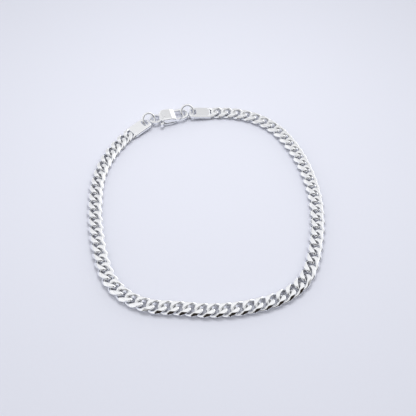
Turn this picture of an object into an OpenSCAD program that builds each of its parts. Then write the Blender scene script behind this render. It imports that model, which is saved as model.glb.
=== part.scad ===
// Link bracelet: a flat-cut curb chain, closed by a lobster clasp.
// The bracelet lies fastened on a surface. X runs across the loop, Y to its clasp side, Z up.

/* [Chain] */
// Number of curb links
link_count = 63; // [57:1:75]
// Clear length inside a link
link_inner_l = 3.1; // [3.0:0.05:3.6]
// Clear width inside a link
link_inner_w = 2.0; // [1.95:0.05:2.3]
// Diameter of the link wire
wire_d = 1.05; // [0.85:0.05:1.1]
// Play of a link along its neighbour
link_play = 0.3; // [0.2:0.05:0.4]
// Twist from a link's middle to its end, in degrees
link_twist = 43; // [41:1:46]
// Metal cut from the top and from the bottom of the chain
flat_cut = 0.27; // [0.1:0.01:0.3]
// Width that the bevels along the chain's sides take from its flats
side_bevel = 0.73; // [0.6:0.01:0.8]
// Tilt of these bevels from upright, in degrees
bevel_tilt = 42; // [38:1:48]

/* [End tabs] */
// Length of a tab's plate
tab_l = 6.2; // [5.8:0.1:8]
// Thickness of a tab's plate
tab_t = 0.95; // [0.8:0.05:1]
// Radius of the plate's outer corners
tab_corner_r = 1.2; // [0.6:0.1:1.6]
// Width of the bevel along the plate's edges
tab_bevel = 0.3; // [0.1:0.05:0.45]
// Wall between the slot and the plate's end
tab_wall = 0.65; // [0.5:0.05:0.7]

/* [Jump rings] */
// Outside diameter of a jump ring
ring_d = 4.2; // [4.2:0.05:4.6]
// Diameter of the jump ring wire
ring_wire_d = 0.65; // [0.5:0.05:0.7]
// Tilt of a lying jump ring from the level, in degrees
ring_tilt = 50; // [47:1:53]

/* [Clasp] */
// Length of the clasp from its tail eye to its nose
clasp_l = 11.4; // [10.6:0.1:12.5]
// Width of the clasp's body
clasp_w = 4.6; // [4.5:0.1:5.2]
// Height of the clasp's body
clasp_h = 2.6; // [2.4:0.1:3]
// Radius of the hole in the tail eye
eye_hole_r = 1.2; // [1.1:0.05:1.3]
// Wall round the hole of the tail eye
eye_wall = 0.6; // [0.5:0.05:0.7]
// Thickness of the tail eye
eye_t = 0.8; // [0.6:0.05:0.85]
// Width of the hook's bar
hook_w = 0.85; // [0.7:0.05:0.9]
// Height of the hook's bar
hook_h = 1.0; // [0.9:0.05:1.1]
// Gap between the pieces of the clasp, and between a ring and what it goes through
fit = 0.1; // [0.08:0.01:0.15]

/* [Lever] */
// Distance of the lever's pin from the clasp's tail end
pin_x = 4.3; // [4.2:0.05:4.6]
// Angle that the lever opens by, in degrees
lever_swing = 24; // [18:1:26]
// Thickness of the lever
lever_t = 0.75; // [0.6:0.05:0.9]
// Radius of the lever round its pin
lever_root_r = 0.72; // [0.6:0.02:0.8]
// Diameter of the lever's pin
pin_d = 0.6; // [0.4:0.05:0.8]
// Radius of the thumb knob
knob_r = 0.45; // [0.3:0.05:0.6]
// Height of the thumb knob
knob_h = 1.3; // [0.8:0.1:1.6]

/* [Hidden] */

silver = "silver";
through = 20;
round_fn = 64;

// The route of the loop, chosen by hand, one unit for each link: x, y. It starts at the chain's left
// end, goes down the left side, along the front, up the right side and back along the clasp.
ROUTE = [
    [-8.2, 9.1], [-9.6, 6.55], [-10.3, 3.7], [-10.3, 0.7], [-9.95, -2.2],
    [-9.3, -5.1], [-8.3, -7.7], [-6.8, -9.4], [-4.8, -10.35], [-2.3, -10.6],
    [0.2, -10.8], [2.9, -10.55], [5.6, -9.75], [7.55, -8.4], [8.7, -6.5],
    [9.4, -3.9], [9.8, -1.1], [9.8, 1.8], [9.3, 4.8], [8.4, 7.55],
    [6.95, 10.15], [5.0, 11.85], [2.6, 12.7], [-0.2, 12.75], [-2.9, 12.35],
    [-5.45, 11.6], [-6.95, 10.4],
];
route_steps = 12;

// Link
link_rings = 16;
wire_sides = 6;
// Shape of a link's ends, where 1 is an ellipse and less is squarer
end_fullness = 0.82;
link_pitch = link_inner_l - link_play;
link_w = link_inner_w + 2 * wire_d;
link_half_l = (link_inner_l + wire_d) / 2;
link_half_w = (link_w - wire_d) / 2;
link_top = max([for (i = [0:72]) link_centre(i * 2.5)[2]]);
chain_h = 2 * (link_top + wire_d / 2 - flat_cut);

// Rings, and where they cross what they go through
ring_r = (ring_d - ring_wire_d) / 2;
eye_z = clasp_h / 2;
ring_z = ring_r * sin(ring_tilt) + ring_wire_d / 2;
ring_shift = (ring_z - eye_z) / tan(ring_tilt) + 3 * fit;
slot_play = 0.2 * tab_t + 3.5 * fit;
tab_cross = tab_l - tab_wall - slot_play - ring_wire_d / 2;
slot_l = slot_play + ring_wire_d + 3 * fit;
slot_half_w = tab_t / 2 / tan(ring_tilt) + ring_wire_d / 2 / sin(ring_tilt) + 4 * fit;
tab_rise = asin((eye_z - chain_h / 2) / tab_cross);

// Clasp, with its tail end at x = 0, its nose at x = clasp_l and its lever on the side of -y
eye_r = eye_hole_r + eye_wall;
tail_cross = eye_wall + ring_wire_d / 2 + 8 * fit;
nose_r = clasp_w / 2 - 0.1;
nose_x = clasp_l - nose_r;
hook_mid_r = nose_r - hook_w / 2;
hook_cross = clasp_l - hook_w - ring_wire_d / 2 - 7 * fit;
hook_bevel = 0.28;
hook_tip_angle = 87;
lip_angle = 100;
lip_w = 0.3;
lip_h = 0.5;
lip_r = nose_r - lip_w - 0.05;
housing_r = clasp_w / 2 + 0.2;
housing_x = 2 * eye_r + 1.5;
housing_back = housing_x - housing_r;
housing_front = nose_x - 1.5;
housing_slope = 1.6;
housing_slope_back = 1.3;
housing_front_h = hook_h + 0.4;
housing_bevel = 0.6;
neck_h = 1.3;
pin_y = 1.1 - clasp_w / 2;
pin_fit = 0.02;
slot_gap = lever_t + 2 * fit;
slot_r = lever_root_r + 1.5 * fit;

// Lever, as lengths from its pin. Its gate closes the hook's mouth behind the lip.
lever_l = nose_x - pin_x - fit / 2;
gate_in = nose_r - hook_w + pin_y;
gate_out = nose_r - fit + pin_y;
gate_lap = lip_r * cos(lip_angle - 90) - fit + pin_y;
lap_l = 0.35;
arm_w = 0.7;
knob_back = 1.2;
knob_out = pin_y + clasp_w / 2 + knob_r + fit;

// Lengths along the loop
clasp_span = hook_cross - tail_cross;
chain_end = (link_count - 1) * link_pitch;
tab_right_s = chain_end + link_pitch;
tab_right_cross_s = tab_right_s + tab_cross;
hook_cross_s = tab_right_cross_s + 2 * ring_r;
tail_cross_s = hook_cross_s + clasp_span;
tab_left_cross_s = tail_cross_s + 2 * ring_r;
tab_left_s = tab_left_cross_s + tab_cross;
loop_l = tab_left_s + link_pitch;

// The loop's curve: a closed spline through the route's points, as x and y against the length run
route_n = len(ROUTE);
function spline(a, b, c, d, t) =
    (2 * b + (c - a) * t + (2 * a - 5 * b + 4 * c - d) * t * t + (3 * b - a - 3 * c + d) * t * t * t) / 2;
function route_at(u) =
    let (i = floor(u), t = u - i)
    spline(ROUTE[(i + route_n - 1) % route_n], ROUTE[i % route_n],
           ROUTE[(i + 1) % route_n], ROUTE[(i + 2) % route_n], t);
curve = [for (i = [0:route_n * route_steps]) route_at(i / route_steps)];
run = [for (i = 0, s = 0; i < len(curve); s = i + 1 < len(curve) ? s + norm(curve[i + 1] - curve[i]) : s,
       i = i + 1) s];
unit = loop_l / run[len(run) - 1];
curve_x = [for (i = [0:len(curve) - 1]) [run[i] * unit, curve[i][0] * unit]];
curve_y = [for (i = [0:len(curve) - 1]) [run[i] * unit, curve[i][1] * unit]];
xs = [for (p = curve_x) p[1]];
ys = [for (p = curve_y) p[1]];
middle = [(max(xs) + min(xs)) / 2, (max(ys) + min(ys)) / 2];
function wrap(s) = s < 0 ? s + loop_l : s > loop_l ? s - loop_l : s;
function loop_point(s) = [lookup(wrap(s), curve_x), lookup(wrap(s), curve_y)] - middle;
function heading(a, b) = atan2(b[1] - a[1], b[0] - a[0]);

// A link: an oval of round wire with a left-hand twist, its top and bottom cut flat and its sides bevelled
function signed_pow(v, p) = sign(v) * pow(abs(v), p);
function link_turn(share) = -link_twist * signed_pow(share, end_fullness);
function link_centre(t) =
    let (share = signed_pow(cos(t), end_fullness),
         w = link_half_w * sin(t),
         turn = link_turn(share))
    [link_half_l * share, w * cos(turn), w * sin(turn)];
function link_up(t) =
    let (turn = link_turn(signed_pow(cos(t), end_fullness)))
    [0, -sin(turn), cos(turn)];
function cut_flat(p) = [p[0], p[1], max(-chain_h / 2, min(chain_h / 2, p[2]))];
function cut_bevel(p) =
    let (across = cos(bevel_tilt),
         up = sin(bevel_tilt),
         over = across * (abs(p[1]) - link_w / 2 + side_bevel) + up * (abs(p[2]) - chain_h / 2))
    p - max(0, over) * [0, across * sign(p[1]), up * sign(p[2])];
function wire_ring(t) =
    let (c = link_centre(t),
         along = link_centre(t + 1) - link_centre(t - 1),
         ahead = along / norm(along),
         side = cross(link_up(t), ahead) / norm(cross(link_up(t), ahead)),
         up = cross(ahead, side))
    [for (k = [0:wire_sides - 1]) let (a = (k + 0.5) * 360 / wire_sides)
        cut_bevel(cut_flat(c + wire_d / 2 * (cos(a) * side + sin(a) * up)))];
function ring_faces(n, closed) =
    [for (i = [0:(closed ? n - 1 : n - 2)], k = [0:wire_sides - 1])
        let (a = i * wire_sides, b = ((i + 1) % n) * wire_sides, k2 = (k + 1) % wire_sides)
        each [[a + k, b + k, b + k2], [a + k, b + k2, a + k2]]];

module curb_link() {
    rings = [for (i = [0:link_rings - 1]) wire_ring(i * 360 / link_rings)];
    polyhedron([for (r = rings) each r], ring_faces(link_rings, true), convexity = 6);
}

// The half of a link behind its middle, with its two ends run on into the plate
module half_link(reach) {
    n = link_rings / 2 + 1;
    bend = [for (i = [0:n - 1]) wire_ring(90 + i * 360 / link_rings)];
    rings = concat([[for (p = bend[0]) p + [reach, 0, 0]]], bend, [[for (p = bend[n - 1]) p + [reach, 0, 0]]]);
    last = (n + 1) * wire_sides;
    caps = [[for (k = [0:wire_sides - 1]) k], [for (k = [wire_sides - 1:-1:0]) last + k]];
    polyhedron([for (r = rings) each r], concat(ring_faces(n + 2, false), caps), convexity = 6);
}

module links(first, last) {
    for (i = [first:last]) {
        s = i * link_pitch;
        p = loop_point(s);
        turn = heading(loop_point(s - link_pitch / 2), loop_point(s + link_pitch / 2));
        translate([p[0], p[1], chain_h / 2]) rotate([0, 0, turn]) curb_link();
    }
}

// Sets a piece between two places on the loop, with its own x from 0 to reach
module between(from, to, reach) {
    a = loop_point(from);
    b = loop_point(to);
    translate([(a[0] + b[0]) / 2, (a[1] + b[1]) / 2, 0])
        rotate([0, 0, heading(a, b)])
            translate([-reach / 2, 0, 0]) children();
}

module bevelled_section(w, h, bevel) {
    polygon([[-w / 2, -h / 2 + bevel], [-w / 2 + bevel, -h / 2], [w / 2 - bevel, -h / 2],
             [w / 2, -h / 2 + bevel], [w / 2, h / 2 - bevel], [w / 2 - bevel, h / 2],
             [-w / 2 + bevel, h / 2], [-w / 2, h / 2 - bevel]]);
}

module bevelled_box(l, w, h, bevel) {
    rotate([90, 0, 90]) linear_extrude(l) bevelled_section(w, h, bevel);
}

module tab_outline() {
    square_l = tab_l - tab_corner_r;
    translate([0, -link_w / 2]) square([square_l, link_w]);
    translate([0, tab_corner_r - link_w / 2]) square([tab_l, link_w - 2 * tab_corner_r]);
    for (side = [-1, 1])
        translate([square_l, side * (link_w / 2 - tab_corner_r)]) circle(tab_corner_r, $fn = round_fn);
}

module slot_outline() {
    translate([0, slot_l / 2 - slot_half_w]) square([slot_l, 2 * slot_half_w - slot_l]);
    for (side = [-1, 1])
        translate([slot_l / 2, side * (slot_half_w - slot_l / 2)])
            circle(slot_l / 2, $fn = round_fn);
}

// The plate tilts up a little, so that its slot is level with the clasp's eye
module end_tab() {
    translate([0, 0, chain_h / 2]) {
        half_link(tab_bevel);
        rotate([0, -tab_rise, 0])
            difference() {
                intersection() {
                    bevelled_box(tab_l, link_w, tab_t, tab_bevel);
                    translate([0, 0, -through / 2]) linear_extrude(through) tab_outline();
                }
                translate([tab_l - tab_wall - slot_l, 0, -through / 2])
                    linear_extrude(through) slot_outline();
            }
        }
}

module jump_ring() {
    translate([ring_r, -ring_shift, ring_z])
        rotate([-ring_tilt, 0, 0])
            rotate_extrude($fn = round_fn)
                translate([ring_r, 0]) circle(ring_wire_d / 2, $fn = 24);
}

module housing() {
    intersection() {
        translate([housing_x, 0, -through / 2]) {
            cylinder(through, r = housing_r, $fn = round_fn);
            translate([0, -through / 2, 0]) cube(through);
        }
        translate([housing_back, 0, 0])
            bevelled_box(housing_front - housing_back, clasp_w, clasp_h, housing_bevel);
        rotate([90, 0, 0])
            translate([0, 0, -through / 2])
                linear_extrude(through)
                    for (side = [-1, 1])
                        polygon([[housing_back, 0], [housing_back, side * neck_h / 2],
                                 [housing_back + housing_slope_back, side * clasp_h / 2],
                                 [housing_front - housing_slope, side * clasp_h / 2],
                                 [housing_front, side * housing_front_h / 2], [housing_front, 0]]);
    }
}

module hook() {
    translate([housing_x, hook_mid_r, 0])
        bevelled_box(nose_x - housing_x, hook_w, hook_h, hook_bevel);
    translate([nose_x, 0, 0]) {
        rotate([0, 0, -hook_tip_angle])
            rotate_extrude(angle = 90 + hook_tip_angle, $fn = round_fn)
                translate([hook_mid_r, 0]) bevelled_section(hook_w, hook_h, hook_bevel);
        rotate([0, 0, -lip_angle])
            rotate_extrude(angle = 2 * (lip_angle - hook_tip_angle), $fn = round_fn)
                translate([lip_r, -lip_h / 2]) square([lip_w, lip_h]);
    }
}

// The slot is open towards the knob and the mouth, and on the inside as far as the lever swings.
// It reaches no further than the lever does, so the hook stays whole.
module lever_slot() {
    translate([0, 0, -slot_gap / 2]) linear_extrude(slot_gap) {
        circle(slot_r, $fn = round_fn);
        intersection() {
            circle(lever_l, $fn = 2 * round_fn);
            polygon([[-slot_r, 0], [-slot_r - through * knob_back / knob_out, -through],
                     [through, -through], [through, 0],
                     [clasp_l * cos(lever_swing), clasp_l * sin(lever_swing)], [0, 0]]);
        }
    }
}

module clasp_shell() {
    difference() {
        union() {
            translate([eye_r, 0, -eye_t / 2]) cylinder(eye_t, r = eye_r, $fn = round_fn);
            housing();
            hook();
        }
        translate([eye_r, 0, -through / 2]) cylinder(through, r = eye_hole_r, $fn = round_fn);
        translate([pin_x, pin_y, 0]) {
            translate([0, 0, -through / 2]) cylinder(through, d = pin_d + pin_fit, $fn = round_fn);
            lever_slot();
        }
    }
}

module lever_outline() {
    difference() {
        union() {
            circle(lever_root_r, $fn = round_fn);
            intersection() {
                circle(lever_l, $fn = 2 * round_fn);
                polygon([[0, -gate_in], [0, -gate_out], [lever_l - 2 * lap_l, -gate_out],
                         [lever_l - lap_l, -gate_lap], [2 * lever_l, -gate_lap], [2 * lever_l, -gate_in]]);
            }
            polygon([[arm_w / 2, 0], [-arm_w / 2, 0], [-knob_back - arm_w / 2, -knob_out],
                     [-knob_back + arm_w / 2, -knob_out]]);
        }
        circle(d = pin_d + 3 * pin_fit, $fn = round_fn);
    }
}

module lever_shape() {
    translate([pin_x, pin_y, 0]) {
        translate([0, 0, -lever_t / 2]) linear_extrude(lever_t) lever_outline();
        translate([-knob_back, -knob_out, -knob_h / 2]) cylinder(knob_h, r = knob_r, $fn = round_fn);
    }
}

module in_clasp() {
    between(tail_cross_s, hook_cross_s, clasp_span)
        translate([-tail_cross, 0, eye_z]) children();
}

module chain_left() {
    color(silver) links(0, floor(link_count / 2) - 1);
}

module chain_right() {
    color(silver) links(floor(link_count / 2), link_count - 1);
}

module end_tab_left() {
    color(silver) between(tab_left_s, tab_left_cross_s, tab_cross) end_tab();
}

module end_tab_right() {
    color(silver) between(tab_right_s, tab_right_cross_s, tab_cross) end_tab();
}

module jump_ring_left() {
    color(silver) between(tail_cross_s, tab_left_cross_s, 2 * ring_r) jump_ring();
}

module jump_ring_right() {
    color(silver) between(tab_right_cross_s, hook_cross_s, 2 * ring_r) jump_ring();
}

module clasp_body() {
    color(silver) in_clasp() clasp_shell();
}

module clasp_lever() {
    color(silver) in_clasp() lever_shape();
}

module clasp_pin() {
    color(silver) in_clasp()
        translate([pin_x, pin_y, -clasp_h / 2]) cylinder(clasp_h, d = pin_d, $fn = round_fn);
}

chain_left();
chain_right();
end_tab_left();
end_tab_right();
jump_ring_left();
jump_ring_right();
clasp_body();
clasp_lever();
clasp_pin();
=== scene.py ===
"""The looks of a polished silver curb bracelet that lies fastened on a pale surface.

Pieces are modelled in millimetres, each in its own frame, then set in place along the loop and turned
into metres. X runs across the loop, Y to its clasp side and Z up.
"""

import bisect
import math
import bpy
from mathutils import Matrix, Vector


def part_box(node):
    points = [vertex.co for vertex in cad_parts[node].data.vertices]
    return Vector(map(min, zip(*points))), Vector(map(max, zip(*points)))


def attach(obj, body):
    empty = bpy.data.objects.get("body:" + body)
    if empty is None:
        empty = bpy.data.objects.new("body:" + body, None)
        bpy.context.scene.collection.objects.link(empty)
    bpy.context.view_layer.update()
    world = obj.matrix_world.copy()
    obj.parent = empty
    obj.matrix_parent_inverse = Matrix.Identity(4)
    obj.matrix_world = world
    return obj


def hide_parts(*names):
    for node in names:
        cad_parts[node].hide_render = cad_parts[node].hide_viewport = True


bl_info = {
    "name": "Curb Link Bracelet",
    "version": (1, 0, 0),
    "blender": (4, 5, 0),
    "location": "View3D > Sidebar > Bracelet",
    "description": "Models a polished silver curb bracelet with its lobster clasp, on a pale floor",
    "category": "Add Mesh",
}

from types import SimpleNamespace

import bmesh
import bpy
from mathutils import Matrix, Vector

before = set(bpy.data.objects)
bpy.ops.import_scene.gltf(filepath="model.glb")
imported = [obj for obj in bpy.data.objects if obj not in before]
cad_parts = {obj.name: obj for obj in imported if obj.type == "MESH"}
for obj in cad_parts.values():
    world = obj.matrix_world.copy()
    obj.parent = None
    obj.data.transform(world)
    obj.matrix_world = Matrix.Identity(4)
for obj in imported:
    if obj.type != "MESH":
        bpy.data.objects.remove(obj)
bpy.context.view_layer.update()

MM = 0.001
TURN = 2 * math.pi

# The route of the loop, one unit for each link: x, y. It starts at the chain's left
# end, goes down the left side, along the front, up the right side and back along the clasp.
ROUTE = [
    [-8.2, 9.1], [-9.6, 6.55], [-10.3, 3.7], [-10.3, 0.7], [-9.95, -2.2],
    [-9.3, -5.1], [-8.3, -7.7], [-6.8, -9.4], [-4.8, -10.35], [-2.3, -10.6],
    [0.2, -10.8], [2.9, -10.55], [5.6, -9.75], [7.55, -8.4], [8.7, -6.5],
    [9.4, -3.9], [9.8, -1.1], [9.8, 1.8], [9.3, 4.8], [8.4, 7.55],
    [6.95, 10.15], [5.0, 11.85], [2.6, 12.7], [-0.2, 12.75], [-2.9, 12.35],
    [-5.45, 11.6], [-6.95, 10.4],
]

# Points of the curve for each point of the route
ROUTE_STEPS = 12

# Shape of a link's ends, where 1 is an ellipse and less is squarer
END_FULLNESS = 0.82

# Steps round a link, a jump ring and the round parts of the clasp, and sides of the wire
LINK_STEPS = 64
RING_STEPS = 72
ROUND_STEPS = 48
KNOB_STEPS = 32
PIN_STEPS = 24
HOOK_STEPS = 28
LIP_STEPS = 6
WIRE_SIDES = 28

# Half the height of a tool that cuts right through, in millimetres
THROUGH = 10

# Grain of the worn casting in millimetres, and how often it is smoothed
CAST_GRAIN = 0.09
CAST_ROUNDS = 45

# The surroundings: the directions of the dim room and of the window, and how strongly the tent glows
# in the middle, and how much more it does overhead, at its foot and at the window
ROOM = (0.42, -0.91, 0)
WINDOW = (0.72, 0.64, 0.25)
TENT_GLOW = 0.84
TOP_MORE = 0.26
FOOT_MORE = 0.3
WINDOW_MORE = 0.6

# The camera: its angle above the level in degrees, its lens, and what it looks at and from how far,
# in millimetres
CAMERA_RISE = 49.66
CAMERA_LENS = 64.19
CAMERA_TARGET = (0.725, -2.842, 1.19)
CAMERA_DISTANCE = 190.55


def linear(hex_colour):
    """An sRGB hex colour as linear red, green and blue."""
    shares = [int(hex_colour[i : i + 2], 16) / 255 for i in (1, 3, 5)]
    return tuple(c / 12.92 if c <= 0.04045 else ((c + 0.055) / 1.055) ** 2.4 for c in shares)


def length(name, description, millimetres):
    """A length that a user can change, kept in metres."""
    return bpy.props.FloatProperty(
        name=name, description=description, default=millimetres * MM, min=0, precision=5, unit="LENGTH"
    )


def angle(name, description, degrees):
    """An angle that a user can change."""
    return bpy.props.FloatProperty(
        name=name, description=description, default=math.radians(degrees), subtype="ANGLE"
    )


def colour(name, description, hex_colour):
    """A colour that a user can change."""
    return bpy.props.FloatVectorProperty(
        name=name, description=description, default=linear(hex_colour), min=0, max=1, subtype="COLOR"
    )


class BraceletChain(bpy.types.PropertyGroup):
    """Sizes of the curb chain."""

    count: bpy.props.IntProperty(
        name="Links", description="Number of curb links", default=63, min=40, max=90
    )
    inner_l: length("Inner length", "Clear length inside a link", 3.1)
    inner_w: length("Inner width", "Clear width inside a link", 2.0)
    wire_d: length("Wire", "Diameter of the link wire", 1.05)
    play: length("Play", "Play of a link along its neighbour", 0.3)
    twist: angle("Twist", "Twist from a link's middle to its end", 43)
    side_bevel: length("Side bevel", "Width that the side bevels take from the flats", 0.73)
    bevel_tilt: angle("Bevel tilt", "Tilt of the side bevels from upright", 42)
    soft: length("Softness", "Softness of the edges round a link's cuts", 0.045)


class BraceletTab(bpy.types.PropertyGroup):
    """Sizes of the two end tabs."""

    plate_l: length("Length", "Length of a tab's plate", 6.2)
    plate_t: length("Thickness", "Thickness of a tab's plate", 0.95)
    corner_r: length("Corner radius", "Radius of the plate's outer corners", 1.2)
    shoulder: length("Shoulder", "Radius of the plate's long edges", 0.36)
    wall: length("Wall", "Wall between the slot and the plate's end", 0.65)


class BraceletRing(bpy.types.PropertyGroup):
    """Sizes of the two jump rings."""

    ring_d: length("Diameter", "Outside diameter of a jump ring", 4.2)
    wire_d: length("Wire", "Diameter of the jump ring wire", 0.65)
    tilt: angle("Tilt", "Tilt of a lying jump ring from the level", 50)


class BraceletClasp(bpy.types.PropertyGroup):
    """Sizes of the lobster clasp, its lever and its pin."""

    clasp_l: length("Length", "Length from the tail eye to the nose", 11.4)
    clasp_w: length("Width", "Width of the body", 4.6)
    clasp_h: length("Height", "Height of the body", 2.6)
    eye_hole_r: length("Eye hole", "Radius of the hole in the tail eye", 1.2)
    eye_wall: length("Eye wall", "Wall round the hole of the tail eye", 0.6)
    eye_t: length("Eye thickness", "Thickness of the tail eye", 0.8)
    hook_w: length("Hook width", "Width of the hook's bar", 0.85)
    hook_h: length("Hook height", "Height of the hook's bar", 1.0)
    fit: length("Fit", "Gap between the pieces of the clasp", 0.1)
    pin_x: length("Pin place", "Distance of the pin from the tail end", 4.3)
    pin_d: length("Pin", "Diameter of the pin", 0.6)
    swing: angle("Swing", "Angle that the lever opens by", 24)
    lever_t: length("Lever thickness", "Thickness of the lever", 0.75)
    root_r: length("Lever root", "Radius of the lever round its pin", 0.72)
    knob_r: length("Knob radius", "Radius of the thumb knob", 0.45)
    knob_h: length("Knob height", "Height of the thumb knob", 1.3)


class BraceletLook(bpy.types.PropertyGroup):
    """Colours of the silver and of the stage."""

    silver: colour("Silver", "Polished sterling silver", "#F5F6F8")
    # Painted shade: this slightly darker, warmer silver is mixed in on the side of the link wire that faces
    # its hole, and stands in for the shade in the links' hollows.
    painted_recess_shade: colour("Painted_recess_shade", "Silver where polishing doesn't reach", "#EEEEED")
    floor: colour("Floor", "Matt paper that the bracelet lies on", "#CFD1DB")
    sky: colour("Studio", "Light tent round the bracelet", "#F5F5F6")
    dark: colour("Dark side", "Dim room behind the camera", "#2B2622")


GROUPS = {
    "bracelet_chain": BraceletChain,
    "bracelet_tab": BraceletTab,
    "bracelet_ring": BraceletRing,
    "bracelet_clasp": BraceletClasp,
    "bracelet_look": BraceletLook,
}


SIZE_GROUPS = ("bracelet_chain", "bracelet_tab", "bracelet_ring", "bracelet_clasp")


def sizes(name):
    """The values of a property group by name, its lengths in millimetres."""
    group = getattr(bpy.context.scene, name)
    values = {}
    for key in GROUPS[name].__annotations__:
        is_length = group.bl_rna.properties[key].unit == "LENGTH"
        values[key] = getattr(group, key) / MM if is_length else getattr(group, key)
    return SimpleNamespace(**values)


def spline(a, b, c, d, t):
    """The point a share t of the way from b to c on a smooth curve through all four."""
    return (2 * b + (c - a) * t + (2 * a - 5 * b + 4 * c - d) * t**2 + (3 * b - a - 3 * c + d) * t**3) / 2


class Loop:
    """The closed curve that the bracelet lies in, and the lengths along it where its pieces meet."""

    def __init__(self, chain, tab, ring, clasp):
        pitch = chain.inner_l - chain.play
        ring_r = (ring.ring_d - ring.wire_d) / 2
        self.slot_play = 0.2 * tab.plate_t + 3.5 * clasp.fit
        self.tab_reach = tab.plate_l - tab.wall - self.slot_play - ring.wire_d / 2
        self.tail_cross = clasp.eye_wall + ring.wire_d / 2 + 8 * clasp.fit
        hook_cross = clasp.clasp_l - clasp.hook_w - ring.wire_d / 2 - 7 * clasp.fit
        self.clasp_reach = hook_cross - self.tail_cross
        self.pitch = pitch
        self.ring_reach = 2 * ring_r
        self.tab_right = chain.count * pitch
        self.tab_right_slot = self.tab_right + self.tab_reach
        self.hook = self.tab_right_slot + self.ring_reach
        self.tail = self.hook + self.clasp_reach
        self.tab_left_slot = self.tail + self.ring_reach
        self.tab_left = self.tab_left_slot + self.tab_reach
        self.length = self.tab_left + pitch
        self.make_curve()

    def make_curve(self):
        """Runs the spline through the route and scales it to the loop's length."""
        knots = [Vector(point) for point in ROUTE]
        n = len(knots)
        curve = []
        for step in range(n * ROUTE_STEPS + 1):
            i, part = divmod(step, ROUTE_STEPS)
            near = [knots[(i + k) % n] for k in (-1, 0, 1, 2)]
            curve.append(spline(*near, part / ROUTE_STEPS))
        run = [0.0]
        for here, there in zip(curve, curve[1:]):
            run.append(run[-1] + (there - here).length)
        unit = self.length / run[-1]
        xs = [p.x * unit for p in curve]
        ys = [p.y * unit for p in curve]
        middle = Vector(((max(xs) + min(xs)) / 2, (max(ys) + min(ys)) / 2))
        self.run = [s * unit for s in run]
        self.curve = [p * unit - middle for p in curve]

    def point(self, s):
        """The point of the loop at the length s."""
        s = s % self.length
        i = min(bisect.bisect_right(self.run, s), len(self.run) - 1)
        share = (s - self.run[i - 1]) / (self.run[i] - self.run[i - 1])
        return self.curve[i - 1].lerp(self.curve[i], share)

    def between(self, start, end, reach, height):
        """The place of a piece whose own x runs from 0 to reach between two lengths along the loop."""
        a = self.point(start)
        b = self.point(end)
        turn = math.atan2(b.y - a.y, b.x - a.x)
        centre = Matrix.Translation(((a.x + b.x) / 2, (a.y + b.y) / 2, height))
        return centre @ Matrix.Rotation(turn, 4, "Z") @ Matrix.Translation((-reach / 2, 0, 0))

    def link(self, i, height):
        """The place of the link with number i."""
        s = i * self.pitch
        a = self.point(s - self.pitch / 2)
        b = self.point(s + self.pitch / 2)
        p = self.point(s)
        turn = math.atan2(b.y - a.y, b.x - a.x)
        return Matrix.Translation((p.x, p.y, height)) @ Matrix.Rotation(turn, 4, "Z")


def loop():
    """The loop for the sizes that are set now."""
    return Loop(*(sizes(name) for name in SIZE_GROUPS))


def chain_height():
    """Height of the cut chain in millimetres, from the frame."""
    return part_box("chain_left")[1].z / MM


def signed_pow(value, power):
    """A power that keeps the sign."""
    return math.copysign(abs(value) ** power, value)


def link_frame(t, chain):
    """The middle of a link's wire at the angle t, and the wire's outward and upward directions there."""
    half_l = (chain.inner_l + chain.wire_d) / 2
    half_w = (chain.inner_w + chain.wire_d) / 2

    def left_turn(share):
        return -chain.twist * signed_pow(share, END_FULLNESS)

    def centre(at):
        share = signed_pow(math.cos(at), END_FULLNESS)
        across = half_w * math.sin(at)
        turned = left_turn(share)
        return Vector((half_l * share, across * math.cos(turned), across * math.sin(turned)))

    turn = left_turn(signed_pow(math.cos(t), END_FULLNESS))
    step = math.radians(1)
    ahead = (centre(t + step) - centre(t - step)).normalized()
    outward = ahead.cross(Vector((0, -math.sin(turn), math.cos(turn)))).normalized()
    return centre(t), outward, outward.cross(ahead)


def spun_ring(bm, ring_r, wire_r, steps, sides):
    """A ring of round wire round Z, closed on itself."""
    start = Matrix.Translation((ring_r, 0, 0)) @ Matrix.Rotation(math.pi / 2, 4, "X")
    made = bmesh.ops.create_circle(bm, segments=sides, radius=wire_r, matrix=start)
    wire = made["verts"] + list({edge for vert in made["verts"] for edge in vert.link_edges})
    bmesh.ops.spin(bm, geom=wire, cent=(0, 0, 0), axis=(0, 0, 1), angle=TURN, steps=steps, use_merge=True)
    bmesh.ops.recalc_face_normals(bm, faces=bm.faces[:])


def cut_flats(bm, chain, height):
    """Cuts a link flat above and below and bevels its sides, with the soft edges that tumbling leaves."""
    across = math.cos(chain.bevel_tilt)
    up = math.sin(chain.bevel_tilt)
    reach = across * (chain.inner_w / 2 + chain.wire_d - chain.side_bevel) + up * height / 2
    planes = [(Vector((0, 0, 1)), height / 2), (Vector((0, 0, -1)), height / 2)]
    planes += [(Vector((0, y * across, z * up)), reach) for y in (1, -1) for z in (1, -1)]
    for vert in bm.verts:
        for normal, distance in planes:
            over = vert.co.dot(normal) - distance + chain.soft
            if over > 0:
                vert.co -= normal * (over - chain.soft * (1 - math.exp(-over / chain.soft)))


def bend_to_link(bm, chain):
    """Bends a spun ring to a link's twisted oval, and marks the side of the wire that faces its hole, where
    the silver gets painted shade.
    """
    layer = bm.verts.layers.float.new("recess")
    wire_r = chain.wire_d / 2
    for vert in bm.verts:
        outward_by = math.hypot(vert.co.x, vert.co.y) - 1
        centre, outward, up = link_frame(math.atan2(vert.co.y, vert.co.x), chain)
        up_by = vert.co.z
        vert[layer] = max(0.0, -outward_by / wire_r)
        vert.co = centre + outward * outward_by + up * up_by


def link_mesh(chain, height):
    """One curb link in its own frame, in millimetres."""
    bm = bmesh.new()
    spun_ring(bm, 1, chain.wire_d / 2, LINK_STEPS, WIRE_SIDES)
    bend_to_link(bm, chain)
    cut_flats(bm, chain, height)
    bmesh.ops.recalc_face_normals(bm, faces=bm.faces[:])
    return bm


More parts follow.
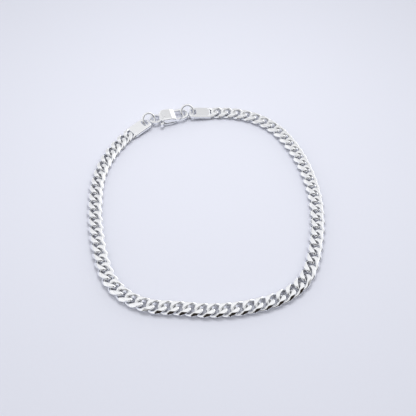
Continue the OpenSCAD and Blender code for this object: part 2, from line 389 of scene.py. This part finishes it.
def copies(bm, places):
    """A mesh with a copy of bm at each place."""
    mesh = bpy.data.meshes.new("pattern")
    bm.to_mesh(mesh)
    bm.free()
    joined = bmesh.new()
    for place in places:
        start = len(joined.verts)
        joined.from_mesh(mesh)
        joined.verts.ensure_lookup_table()
        bmesh.ops.transform(joined, matrix=place, verts=joined.verts[start:])
    bpy.data.meshes.remove(mesh)
    return joined


def as_object(name, bm):
    """A loose object from bm, for joining and cutting."""
    mesh = bpy.data.meshes.new(name)
    bm.to_mesh(mesh)
    bm.free()
    obj = bpy.data.objects.new(name, mesh)
    bpy.context.scene.collection.objects.link(obj)
    return obj


def evaluated(obj, *tools):
    """The mesh of a loose object with its modifiers applied. It and its tools are then removed."""
    bpy.context.view_layer.update()
    bm = bmesh.new()
    bm.from_object(obj, bpy.context.evaluated_depsgraph_get())
    for used in (obj, *tools):
        mesh = used.data
        bpy.data.objects.remove(used)
        bpy.data.meshes.remove(mesh)
    return bm


def combined(base, steps):
    """The mesh that comes of joining other shapes to base or cutting them from it, in order."""
    obj = as_object("base", base)
    tools = []
    for operation, shape in steps:
        tool = as_object("tool", shape)
        modifier = obj.modifiers.new(operation, "BOOLEAN")
        modifier.operation = operation
        modifier.object = tool
        modifier.solver = "EXACT"
        tools.append(tool)
    bm = evaluated(obj, *tools)
    bmesh.ops.remove_doubles(bm, verts=bm.verts[:], dist=0.001)
    return bm


def prism(outline, low, high):
    """An upright solid over an outline of a few points."""
    bm = bmesh.new()
    face = bm.faces.new([bm.verts.new((x, y, low)) for x, y in outline])
    raised = bmesh.ops.extrude_face_region(bm, geom=[face])["geom"]
    tops = [item for item in raised if isinstance(item, bmesh.types.BMVert)]
    bmesh.ops.translate(bm, vec=(0, 0, high - low), verts=tops)
    bmesh.ops.recalc_face_normals(bm, faces=bm.faces[:])
    return bm


def rod(radius, low, high, steps, centre=(0, 0)):
    """An upright round rod."""
    bm = bmesh.new()
    bmesh.ops.create_cone(
        bm, cap_ends=True, segments=steps, radius1=radius, radius2=radius, depth=high - low,
        matrix=Matrix.Translation((centre[0], centre[1], (low + high) / 2)),
    )
    return bm


def cut_away(bm, point, normal):
    """Takes away what lies beyond a plane and leaves the cut open."""
    bmesh.ops.bisect_plane(
        bm, geom=bm.verts[:] + bm.edges[:] + bm.faces[:], plane_co=point, plane_no=normal, clear_outer=True
    )


def close_cuts(bm):
    """Closes each open cut with a face."""
    bmesh.ops.holes_fill(bm, edges=[e for e in bm.edges if e.is_boundary], sides=0)


def upright_edges(bm, test=lambda x, y: True):
    """The edges that stand along Z, where the test holds for their place."""
    found = []
    for e in bm.edges:
        along = e.verts[1].co - e.verts[0].co
        middle = (e.verts[0].co + e.verts[1].co) / 2
        if abs(along.z) > 0.99 * along.length and test(middle.x, middle.y):
            found.append(e)
    return found


def sharp_edges(bm, degrees=30):
    """The edges where two faces meet at more than an angle."""
    return [e for e in bm.edges if e.is_manifold and e.calc_face_angle(0) > math.radians(degrees)]


def rounded(bm, edges, radius, segments):
    """Rounds edges to a radius."""
    bmesh.ops.bevel(
        bm, geom=edges, offset=radius, segments=segments, profile=0.5, affect="EDGES", material=-1,
        clamp_overlap=True,
    )


def finish_piece(name, bm, material, body, *nodes):
    """Turns a piece made in millimetres into an object in metres that stands for its nodes."""
    bmesh.ops.scale(bm, vec=(MM, MM, MM), verts=bm.verts[:])
    mesh = bpy.data.meshes.new(name)
    for face in bm.faces:
        face.smooth = True
    for edge in bm.edges:
        edge.smooth = edge.calc_face_angle(0) < math.radians(35)
    bm.to_mesh(mesh)
    bm.free()
    piece = bpy.data.objects.new(name, mesh)
    bpy.context.scene.collection.objects.link(piece)
    piece.data.materials.append(material)
    shading = piece.modifiers.new("Even shading", "WEIGHTED_NORMAL")
    shading.keep_sharp = True
    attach(piece, body)
    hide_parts(*nodes)
    return piece


def add(tree, kind, settings=None, links=None):
    """Adds a node with its settings by name, and its inputs as values or as other nodes' outputs."""
    node = tree.nodes.new(kind)
    for key, value in (settings or {}).items():
        setattr(node, key, value)
    for key, value in (links or {}).items():
        if isinstance(value, bpy.types.NodeSocket):
            tree.links.new(value, node.inputs[key])
        else:
            node.inputs[key].default_value = value
    return node


def new_material(name):
    """An empty material, with its node tree."""
    material = bpy.data.materials.new(name)
    material.use_nodes = True
    material.node_tree.nodes.clear()
    return material, material.node_tree


def silver_material(name, roughness, mark_mm, mark_depth):
    """Sterling silver: a bright mirror with fine polishing marks; on the side of the wire that faces a
    link's hole it is rougher and greyed by painted shade.
    """
    if name in bpy.data.materials:
        return bpy.data.materials[name]
    look = bpy.context.scene.bracelet_look
    material, tree = new_material(name)
    place = add(tree, "ShaderNodeTexCoord").outputs["Object"]
    recess = add(tree, "ShaderNodeAttribute", {"attribute_name": "recess"}).outputs["Fac"]
    cloud_mm = 1.5
    cloud = add(
        tree, "ShaderNodeTexNoise", None, {"Vector": place, "Scale": 1 / (cloud_mm * MM), "Detail": 3.0}
    )
    marks = add(
        tree, "ShaderNodeTexNoise", None, {"Vector": place, "Scale": 1 / (mark_mm * MM), "Detail": 2.0}
    )
    # Painted shade: towards the side of the wire that faces the link's hole, the silver is mixed towards the
    # darker recess colour, and the same share makes it rougher there.
    painted_shade_and_rough = add(
        tree, "ShaderNodeMapRange", {"interpolation_type": "SMOOTHSTEP"},
        {"Value": recess, "From Min": 0.45, "From Max": 1.0, "To Min": 0.0, "To Max": 0.8},
    )
    tone = add(
        tree, "ShaderNodeMix", {"data_type": "RGBA"},
        {0: painted_shade_and_rough.outputs[0], 6: (*look.silver, 1), 7: (*look.painted_recess_shade, 1)},
    )
    uneven = add(
        tree, "ShaderNodeMapRange", None,
        {"Value": cloud.outputs["Fac"], "From Min": 0.3, "From Max": 0.7, "To Min": roughness * 0.7,
         "To Max": roughness * 1.4},
    )
    rough_more = 0.4
    rough = add(
        tree, "ShaderNodeMath", {"operation": "MULTIPLY_ADD"},
        {0: painted_shade_and_rough.outputs[0], 1: rough_more, 2: uneven.outputs[0]},
    )
    bump = add(
        tree, "ShaderNodeBump", None,
        {"Height": marks.outputs["Fac"], "Strength": mark_depth, "Distance": 0.02 * MM},
    )
    shader = add(
        tree, "ShaderNodeBsdfPrincipled", None,
        {"Base Color": tone.outputs[2], "Metallic": 1.0, "Roughness": rough.outputs[0],
         "Normal": bump.outputs[0]},
    )
    add(tree, "ShaderNodeOutputMaterial", None, {"Surface": shader.outputs[0]})
    return material


def cut_silver():
    """Drawn and diamond-cut sterling silver: flats like a mirror."""
    return silver_material("diamond_cut_sterling_silver", roughness=0.07, mark_mm=0.25, mark_depth=0.12)


def cast_silver():
    """Cast and tumble-polished sterling silver: a softer mirror with a faint orange peel."""
    return silver_material("tumble_polished_sterling_silver", roughness=0.12, mark_mm=0.35, mark_depth=0.3)


def half_link(chain, height, reach):
    """The half of a link behind its middle, with its two ends run on into the plate."""
    bm = bmesh.new()
    spun_ring(bm, 1, chain.wire_d / 2, LINK_STEPS, WIRE_SIDES)
    bend_to_link(bm, chain)
    cut_away(bm, (0, 0, 0), (1, 0, 0))
    ends = bmesh.ops.extrude_edge_only(bm, edges=[e for e in bm.edges if e.is_boundary])["geom"]
    tips = [item for item in ends if isinstance(item, bmesh.types.BMVert)]
    bmesh.ops.translate(bm, vec=(reach, 0, 0), verts=tips)
    close_cuts(bm)
    cut_flats(bm, chain, height)
    bmesh.ops.recalc_face_normals(bm, faces=bm.faces[:])
    return bm


def tab_plate(chain, tab, slot_end, slot_l, slot_half_w):
    """The plate of an end tab, with its slot, about its own middle height."""
    half_w = chain.inner_w / 2 + chain.wire_d
    outline = [(0, -half_w), (tab.plate_l, -half_w), (tab.plate_l, half_w), (0, half_w)]
    plate = prism(outline, -tab.plate_t / 2, tab.plate_t / 2)
    outer_corners = upright_edges(plate, lambda x, y: x > tab.corner_r)
    rounded(plate, outer_corners, tab.corner_r, segments=10)
    rims = [e for e in sharp_edges(plate) if abs(e.verts[0].co.z - e.verts[1].co.z) < 0.01 * tab.plate_t]
    rounded(plate, rims, tab.shoulder, segments=5)
    corners = [
        (slot_end - slot_l, -slot_half_w), (slot_end, -slot_half_w), (slot_end, slot_half_w),
        (slot_end - slot_l, slot_half_w),
    ]
    slot = prism(corners, -tab.plate_t, tab.plate_t)
    nearly_half = 0.49
    rounded(slot, upright_edges(slot), nearly_half * slot_l, segments=10)
    return combined(plate, [("DIFFERENCE", slot)])


class BRACELET_OT_chain(bpy.types.Operator):
    """Models the two halves of the flat-cut curb chain"""

    bl_idname = "bracelet.chain"
    bl_label = "Curb Chain"

    def execute(self, context):
        chain = sizes("bracelet_chain")
        path = loop()
        height = chain_height()
        first_right = chain.count // 2
        for name, numbers in (
            ("chain_left", range(first_right)),
            ("chain_right", range(first_right, chain.count)),
        ):
            places = [path.link(i, height / 2) for i in numbers]
            links = copies(link_mesh(chain, height), places)
            finish_piece(name + "_links", links, cut_silver(), "bracelet", name)
        return {"FINISHED"}


class BRACELET_OT_tabs(bpy.types.Operator):
    """Models the two end tabs, each a slotted plate with half a curb link"""

    bl_idname = "bracelet.tabs"
    bl_label = "End Tabs"

    def execute(self, context):
        chain, tab, ring, clasp = (sizes(name) for name in SIZE_GROUPS)
        path = loop()
        height = chain_height()
        slot_l = path.slot_play + ring.wire_d + 3 * clasp.fit
        slot_half_w = (
            tab.plate_t / 2 / math.tan(ring.tilt) + ring.wire_d / 2 / math.sin(ring.tilt) + 4 * clasp.fit
        )
        rise = math.asin((clasp.clasp_h - height) / 2 / path.tab_reach)
        lift = Matrix.Rotation(-rise, 3, "Y")
        for name, start, end in (
            ("end_tab_left", path.tab_left, path.tab_left_slot),
            ("end_tab_right", path.tab_right, path.tab_right_slot),
        ):
            plate = tab_plate(chain, tab, tab.plate_l - tab.wall, slot_l, slot_half_w)
            bmesh.ops.rotate(plate, cent=(0, 0, 0), matrix=lift, verts=plate.verts[:])
            piece = combined(plate, [("UNION", half_link(chain, height, 2 * tab.shoulder))])
            place = path.between(start, end, path.tab_reach, height / 2)
            bmesh.ops.transform(piece, matrix=place, verts=piece.verts[:])
            finish_piece(name + "_plate", piece, cut_silver(), "bracelet", name)
        return {"FINISHED"}


class BRACELET_OT_rings(bpy.types.Operator):
    """Models the two jump rings that lie tilted between the tabs and the clasp"""

    bl_idname = "bracelet.rings"
    bl_label = "Jump Rings"

    def execute(self, context):
        ring = sizes("bracelet_ring")
        clasp = sizes("bracelet_clasp")
        path = loop()
        ring_r = (ring.ring_d - ring.wire_d) / 2
        ring_z = ring_r * math.sin(ring.tilt) + ring.wire_d / 2
        shift = (ring_z - clasp.clasp_h / 2) / math.tan(ring.tilt) + 3 * clasp.fit
        lean = Matrix.Translation((ring_r, -shift, ring_z)) @ Matrix.Rotation(-ring.tilt, 4, "X")
        for name, start, end in (
            ("jump_ring_left", path.tail, path.tab_left_slot),
            ("jump_ring_right", path.tab_right_slot, path.hook),
        ):
            wire = bmesh.new()
            spun_ring(wire, ring_r, ring.wire_d / 2, RING_STEPS, WIRE_SIDES)
            place = path.between(start, end, path.ring_reach, 0) @ lean
            bmesh.ops.transform(wire, matrix=place, verts=wire.verts[:])
            finish_piece(name + "_wire", wire, cast_silver(), "bracelet", name)
        return {"FINISHED"}


class ClaspPlan:
    """Where the clasp's parts lie in its own frame: its tail end at x = 0, its lever on the side of -y."""

    def __init__(self, clasp):
        nose_inset = 0.1
        lip_inset = 0.05
        tip_inset = 0.05
        eye_gap = 1.5
        back_reach = 0.2
        front_gap = 1.5
        pin_depth = 1.1
        self.eye_r = clasp.eye_hole_r + clasp.eye_wall
        self.eye_edge_r = 0.2
        self.nose_r = clasp.clasp_w / 2 - nose_inset
        self.nose_x = clasp.clasp_l - self.nose_r
        self.hook_mid_r = self.nose_r - clasp.hook_w / 2
        self.hook_tip = math.radians(87)
        self.hook_edge_r = 0.3
        self.lip_angle = math.radians(100)
        self.lip_w = 0.3
        self.lip_h = 0.5
        self.lip_edge_r = 0.1
        self.lip_r = self.nose_r - self.lip_w - lip_inset
        self.housing_x = 2 * self.eye_r + eye_gap
        self.housing_back = self.housing_x - clasp.clasp_w / 2 - back_reach
        self.housing_front = self.nose_x - front_gap
        self.housing_corner_r = 2.0
        self.back_h = 1.3
        self.back_slope = 1.3
        self.front_h = clasp.hook_h + 0.4
        self.front_slope = 1.6
        self.pin_y = pin_depth - clasp.clasp_w / 2
        self.pin_seat = 0.01
        self.pin_play = 0.03
        self.pin_edge_r = 0.1
        self.slot_gap = clasp.lever_t + 2 * clasp.fit
        self.slot_r = clasp.root_r + 1.5 * clasp.fit
        self.lever_l = self.nose_x - clasp.pin_x - clasp.fit / 2
        self.lever_edge_r = 0.1
        self.gate_edge_r = 0.08
        self.gate_tip = self.lever_l - tip_inset
        self.gate_in = self.nose_r - clasp.hook_w + self.pin_y
        self.gate_out = self.nose_r - clasp.fit + self.pin_y
        self.gate_lap = self.lip_r * math.cos(self.lip_angle - math.pi / 2) - clasp.fit + self.pin_y
        self.lap_l = 0.35
        self.arm_w = 0.7
        self.knob_back = 1.2
        self.knob_out = self.pin_y + clasp.clasp_w / 2 + clasp.knob_r + clasp.fit
        self.knob_edge_r = 0.18


def worn_round(bm, grain, rounds):
    """The same shape with its edges worn round, as tumbling leaves a casting."""
    blank = as_object("blank", bm)
    remesh = blank.modifiers.new("Even grain", "REMESH")
    remesh.mode = "VOXEL"
    remesh.voxel_size = grain
    worn = evaluated(blank)
    for _ in range(rounds):
        bmesh.ops.smooth_vert(
            worn, verts=worn.verts[:], factor=0.5, use_axis_x=True, use_axis_y=True, use_axis_z=True
        )
    return worn


def tail_eye(clasp, plan):
    """The flat ring at the clasp's tail."""
    bm = bmesh.new()
    bmesh.ops.create_cone(
        bm, cap_ends=True, segments=ROUND_STEPS, radius1=plan.eye_r, radius2=plan.eye_r, depth=clasp.eye_t,
        matrix=Matrix.Translation((plan.eye_r, 0, 0)),
    )
    rounded(bm, sharp_edges(bm), plan.eye_edge_r, segments=4)
    return bm


def housing(clasp, plan):
    """The clasp's body: round at the back, and sloped towards its tail and its hook."""
    half_w = clasp.clasp_w / 2
    half_h = clasp.clasp_h / 2
    back, front = plan.housing_back, plan.housing_front
    bm = prism([(back, -half_w), (front, -half_w), (front, half_w), (back, half_w)], -half_h, half_h)
    back_corners = upright_edges(bm, lambda x, y: x < (back + front) / 2)
    rounded(bm, back_corners, plan.housing_corner_r, segments=10)
    for side in (1, -1):
        for x, ahead, low, slope in (
            (back, -1, plan.back_h / 2, plan.back_slope),
            (front, 1, plan.front_h / 2, plan.front_slope),
        ):
            cut_away(bm, (x, 0, side * low), (ahead * (half_h - low), 0, side * slope))
            close_cuts(bm)
    bmesh.ops.recalc_face_normals(bm, faces=bm.faces[:])
    return worn_round(bm, CAST_GRAIN, CAST_ROUNDS)


def bar_section(width, height, edge_r, segments):
    """The section of a bar, lying flat round the origin: a rectangle with rounded corners."""
    bm = bmesh.new()
    made = bmesh.ops.create_grid(bm, x_segments=1, y_segments=1, size=0.5)
    bmesh.ops.scale(bm, vec=(width, height, 1), verts=made["verts"])
    bmesh.ops.bevel(
        bm, geom=bm.verts[:], offset=edge_r, segments=segments, profile=0.5, affect="VERTICES", material=-1,
        clamp_overlap=True,
    )
    return bm


def hook(clasp, plan):
    """The hook: a bar that runs from the body round the nose and ends in a thin lip."""
    bm = bar_section(clasp.hook_w, clasp.hook_h, plan.hook_edge_r, segments=4)
    stand = Matrix.Translation((plan.housing_x, plan.hook_mid_r, 0)) @ Matrix(
        ((0, 0, 1, 0), (1, 0, 0, 0), (0, 1, 0, 0), (0, 0, 0, 1))
    )
    bmesh.ops.transform(bm, matrix=stand, verts=bm.verts[:])
    end = bmesh.ops.extrude_face_region(bm, geom=bm.faces[:])["geom"]
    end_verts = [item for item in end if isinstance(item, bmesh.types.BMVert)]
    bmesh.ops.translate(bm, vec=(plan.nose_x - plan.housing_x, 0, 0), verts=end_verts)
    bmesh.ops.spin(
        bm, geom=end, cent=(plan.nose_x, 0, 0), axis=(0, 0, -1), angle=math.pi / 2 + plan.hook_tip,
        steps=HOOK_STEPS,
    )
    bmesh.ops.recalc_face_normals(bm, faces=bm.faces[:])
    return bm


def lip(clasp, plan):
    """The thin lip at the hook's tip, which the lever closes behind."""
    bm = bar_section(plan.lip_w, plan.lip_h, plan.lip_edge_r, segments=3)
    section = Matrix.Translation((plan.lip_r + plan.lip_w / 2, 0, 0)) @ Matrix.Rotation(math.pi / 2, 4, "X")
    start = Matrix.Translation((plan.nose_x, 0, 0)) @ Matrix.Rotation(-plan.lip_angle, 4, "Z") @ section
    bmesh.ops.transform(bm, matrix=start, verts=bm.verts[:])
    bmesh.ops.spin(
        bm, geom=bm.verts[:] + bm.edges[:] + bm.faces[:], cent=(plan.nose_x, 0, 0), axis=(0, 0, 1),
        angle=2 * (plan.lip_angle - plan.hook_tip), steps=LIP_STEPS,
    )
    bmesh.ops.recalc_face_normals(bm, faces=bm.faces[:])
    return bm


def lever_slot(clasp, plan):
    """The space that the lever turns in, open towards the knob and the nose."""
    far = 2 * THROUGH
    back = plan.slot_r + far * plan.knob_back / plan.knob_out
    up = (clasp.clasp_l * math.cos(clasp.swing), clasp.clasp_l * math.sin(clasp.swing))
    outline = [(-plan.slot_r, 0), (-back, -far), (far, -far), (far, 0), up, (0, 0)]
    bm = prism(outline, -plan.slot_gap / 2, plan.slot_gap / 2)
    bmesh.ops.translate(bm, vec=(clasp.pin_x, plan.pin_y, 0), verts=bm.verts[:])
    return bm


def clasp_place(clasp):
    """The place of the clasp's own frame."""
    path = loop()
    along = path.between(path.tail, path.hook, path.clasp_reach, clasp.clasp_h / 2)
    return along @ Matrix.Translation((-path.tail_cross, 0, 0))


class BRACELET_OT_clasp_body(bpy.types.Operator):
    """Models the lobster clasp's body with its tail eye, hook and lever slot"""

    bl_idname = "bracelet.clasp_body"
    bl_label = "Clasp Body"

    def execute(self, context):
        clasp = sizes("bracelet_clasp")
        plan = ClaspPlan(clasp)
        pin = (clasp.pin_x, plan.pin_y)
        body = combined(
            housing(clasp, plan),
            [
                ("DIFFERENCE", rod(plan.slot_r, -plan.slot_gap / 2, plan.slot_gap / 2, ROUND_STEPS, pin)),
                ("DIFFERENCE", lever_slot(clasp, plan)),
                ("UNION", tail_eye(clasp, plan)),
                ("UNION", hook(clasp, plan)),
                ("UNION", lip(clasp, plan)),
                ("DIFFERENCE", rod(clasp.eye_hole_r, -THROUGH, THROUGH, ROUND_STEPS, (plan.eye_r, 0))),
                ("DIFFERENCE", rod(clasp.pin_d / 2 + plan.pin_seat, -THROUGH, THROUGH, PIN_STEPS, pin)),
            ],
        )
        bmesh.ops.transform(body, matrix=clasp_place(clasp), verts=body.verts[:])
        finish_piece("clasp_body_cast", body, cast_silver(), "bracelet", "clasp_body")
        return {"FINISHED"}


class BRACELET_OT_clasp_lever(bpy.types.Operator):
    """Models the sprung lever with its thumb knob"""

    bl_idname = "bracelet.clasp_lever"
    bl_label = "Clasp Lever"

    def execute(self, context):
        clasp = sizes("bracelet_clasp")
        plan = ClaspPlan(clasp)
        half_t = clasp.lever_t / 2
        tip = plan.gate_tip
        gate = prism(
            [(0, -plan.gate_out), (tip - 2 * plan.lap_l, -plan.gate_out), (tip - plan.lap_l, -plan.gate_lap),
             (tip, -plan.gate_lap), (tip, -plan.gate_in), (0, -plan.gate_in)],
            -half_t, half_t,
        )
        rounded(gate, sharp_edges(gate), plan.gate_edge_r, segments=3)
        half_arm = plan.arm_w / 2
        arm = prism(
            [(half_arm, 0), (-half_arm, 0), (-plan.knob_back - half_arm, -plan.knob_out),
             (-plan.knob_back + half_arm, -plan.knob_out)],
            -half_t, half_t,
        )
        rounded(arm, sharp_edges(arm), plan.lever_edge_r, segments=3)
        root = rod(clasp.root_r, -half_t, half_t, ROUND_STEPS)
        rounded(root, sharp_edges(root), plan.lever_edge_r, segments=3)
        half_knob = clasp.knob_h / 2
        knob = rod(clasp.knob_r, -half_knob, half_knob, KNOB_STEPS, (-plan.knob_back, -plan.knob_out))
        rounded(knob, sharp_edges(knob), plan.knob_edge_r, segments=4)
        hole = rod(clasp.pin_d / 2 + plan.pin_play, -THROUGH, THROUGH, KNOB_STEPS)
        lever = combined(root, [("UNION", gate), ("UNION", arm), ("UNION", knob), ("DIFFERENCE", hole)])
        place = clasp_place(clasp) @ Matrix.Translation((clasp.pin_x, plan.pin_y, 0))
        bmesh.ops.transform(lever, matrix=place, verts=lever.verts[:])
        finish_piece("clasp_lever_cast", lever, cast_silver(), "lever", "clasp_lever")
        return {"FINISHED"}


class BRACELET_OT_clasp_pin(bpy.types.Operator):
    """Models the riveted pin that the lever turns on"""

    bl_idname = "bracelet.clasp_pin"
    bl_label = "Clasp Pin"

    def execute(self, context):
        clasp = sizes("bracelet_clasp")
        plan = ClaspPlan(clasp)
        pin = rod(clasp.pin_d / 2, -clasp.clasp_h / 2, clasp.clasp_h / 2, PIN_STEPS)
        rounded(pin, sharp_edges(pin), plan.pin_edge_r, segments=4)
        place = clasp_place(clasp) @ Matrix.Translation((clasp.pin_x, plan.pin_y, 0))
        bmesh.ops.transform(pin, matrix=place, verts=pin.verts[:])
        finish_piece("clasp_pin_rivet", pin, cast_silver(), "bracelet", "clasp_pin")
        return {"FINISHED"}


def paper_material(context):
    """Matt paper: pale and a little lavender, with a faint tooth that keeps the light soft."""
    material, tree = new_material("matt_paper")
    place = add(tree, "ShaderNodeTexCoord").outputs["Object"]
    tooth_mm = 0.8
    tooth = add(
        tree, "ShaderNodeTexNoise", None, {"Vector": place, "Scale": 1 / (tooth_mm * MM), "Detail": 3.0}
    )
    pale = Vector(context.scene.bracelet_look.floor)
    tone = add(
        tree, "ShaderNodeMix", {"data_type": "RGBA"},
        {0: tooth.outputs["Fac"], 6: (*(pale * 0.99), 1), 7: (*(pale * 1.01), 1)},
    )
    bump = add(
        tree, "ShaderNodeBump", None,
        {"Height": tooth.outputs["Fac"], "Strength": 0.1, "Distance": 0.02 * MM},
    )
    shader = add(
        tree, "ShaderNodeBsdfPrincipled", None,
        {"Base Color": tone.outputs[2], "Roughness": 0.9, "Normal": bump.outputs[0],
         "Specular IOR Level": 0.2},
    )
    add(tree, "ShaderNodeOutputMaterial", None, {"Surface": shader.outputs[0]})
    return material


def share_between(tree, value, low, high):
    """A share that grows smoothly from 0 to 1 as a value goes from low to high."""
    return add(
        tree, "ShaderNodeMapRange", {"interpolation_type": "SMOOTHSTEP"},
        {"Value": value, "From Min": low, "From Max": high, "To Min": 0.0, "To Max": 1.0},
    ).outputs[0]


def studio_world(context):
    """A light tent with a window at the right, and in front the dim room that draws dark lines."""
    look = context.scene.bracelet_look
    world = bpy.data.worlds.new("light_tent")
    world.use_nodes = True
    tree = world.node_tree
    tree.nodes.clear()
    ray = add(tree, "ShaderNodeTexCoord").outputs["Generated"]
    height = add(tree, "ShaderNodeSeparateXYZ", None, {0: ray}).outputs[2]
    to_room = add(tree, "ShaderNodeVectorMath", {"operation": "DOT_PRODUCT"}, {0: ray, 1: ROOM})
    to_window = add(tree, "ShaderNodeVectorMath", {"operation": "DOT_PRODUCT"}, {0: ray, 1: WINDOW})
    in_room = share_between(tree, to_room.outputs["Value"], low=0.35, high=0.6)
    below_tent = share_between(tree, height, low=0.6, high=0.45)
    dim = add(tree, "ShaderNodeMath", {"operation": "MULTIPLY"}, {0: in_room, 1: below_tent})
    light = add(
        tree, "ShaderNodeMix", {"data_type": "RGBA"},
        {0: dim.outputs[0], 6: (*look.sky, 1), 7: (*look.dark, 1)},
    )
    strength = TENT_GLOW
    for share, more in (
        (share_between(tree, height, low=0.65, high=0.85), TOP_MORE),
        (share_between(tree, height, low=0.58, high=0.38), FOOT_MORE),
        (share_between(tree, to_window.outputs["Value"], low=0.8, high=0.95), WINDOW_MORE),
    ):
        brighter = add(
            tree, "ShaderNodeMath", {"operation": "MULTIPLY_ADD"}, {0: share, 1: more, 2: strength}
        )
        strength = brighter.outputs[0]
    glow = add(tree, "ShaderNodeBackground", None, {"Color": light.outputs[2], "Strength": strength})
    add(tree, "ShaderNodeOutputWorld", None, {"Surface": glow.outputs[0]})
    context.scene.world = world


def softbox(name, place, size, power):
    """A square softbox that faces the bracelet. It lights the floor and isn't mirrored in the silver."""
    light = bpy.data.lights.new(name, "AREA")
    light.shape = "SQUARE"
    light.size = size
    light.energy = power
    lamp = bpy.data.objects.new(name, light)
    lamp.location = place
    lamp.rotation_euler = (-Vector(place)).to_track_quat("-Z", "Y").to_euler()
    lamp.visible_glossy = False
    bpy.context.scene.collection.objects.link(lamp)


class BRACELET_OT_stage(bpy.types.Operator):
    """Sets the pale floor, the soft studio light and the camera"""

    bl_idname = "bracelet.stage"
    bl_label = "Studio Stage"

    def execute(self, context):
        floor = bmesh.new()
        bmesh.ops.create_circle(floor, cap_ends=True, segments=64, radius=3.0)
        mesh = bpy.data.meshes.new("floor")
        floor.to_mesh(mesh)
        floor.free()
        ground = bpy.data.objects.new("floor", mesh)
        context.scene.collection.objects.link(ground)
        mesh.materials.append(paper_material(context))
        studio_world(context)
        softbox("top_softbox", place=(0.0, 0.04, 0.15), size=0.08, power=0.11)
        softbox("front_softbox", place=(0.0, -0.3, 0.24), size=0.3, power=0.04)
        self.set_camera(context)
        context.scene.view_settings.view_transform = "Standard"
        return {"FINISHED"}

    def set_camera(self, context):
        """Looks along +Y and down, as the photo does."""
        rise = math.radians(CAMERA_RISE)
        target = Vector(CAMERA_TARGET) * MM
        away = Vector((0, -math.cos(rise), math.sin(rise)))
        camera = bpy.data.cameras.new("camera")
        camera.lens = CAMERA_LENS
        camera.clip_start = 0.01
        view = bpy.data.objects.new("camera", camera)
        view.location = target + CAMERA_DISTANCE * MM * away
        view.rotation_euler = (target - view.location).to_track_quat("-Z", "Y").to_euler()
        context.scene.collection.objects.link(view)
        context.scene.camera = view


class BRACELET_PT_panel(bpy.types.Panel):
    """Lists the steps that make the bracelet, and its sizes and colours"""

    bl_idname = "BRACELET_PT_panel"
    bl_label = "Curb Link Bracelet"
    bl_space_type = "VIEW_3D"
    bl_region_type = "UI"
    bl_category = "Bracelet"

    def draw(self, context):
        for step in STEPS:
            self.layout.operator(step.bl_idname)
        for name, group in GROUPS.items():
            box = self.layout.box()
            box.label(text=group.__doc__)
            for key in group.__annotations__:
                box.prop(getattr(context.scene, name), key)


STEPS = (
    BRACELET_OT_chain,
    BRACELET_OT_tabs,
    BRACELET_OT_rings,
    BRACELET_OT_clasp_body,
    BRACELET_OT_clasp_lever,
    BRACELET_OT_clasp_pin,
    BRACELET_OT_stage,
)
CLASSES = (*GROUPS.values(), *STEPS, BRACELET_PT_panel)


def register():
    for item in CLASSES:
        bpy.utils.register_class(item)
    for name, group in GROUPS.items():
        setattr(bpy.types.Scene, name, bpy.props.PointerProperty(type=group))


def unregister():
    for name in GROUPS:
        delattr(bpy.types.Scene, name)
    for item in reversed(CLASSES):
        bpy.utils.unregister_class(item)


def main():
    """Makes the bracelet and its stage."""
    register()
    for step in STEPS:
        family, action = step.bl_idname.split(".")
        getattr(getattr(bpy.ops, family), action)()


if __name__ == "__main__":
    main()
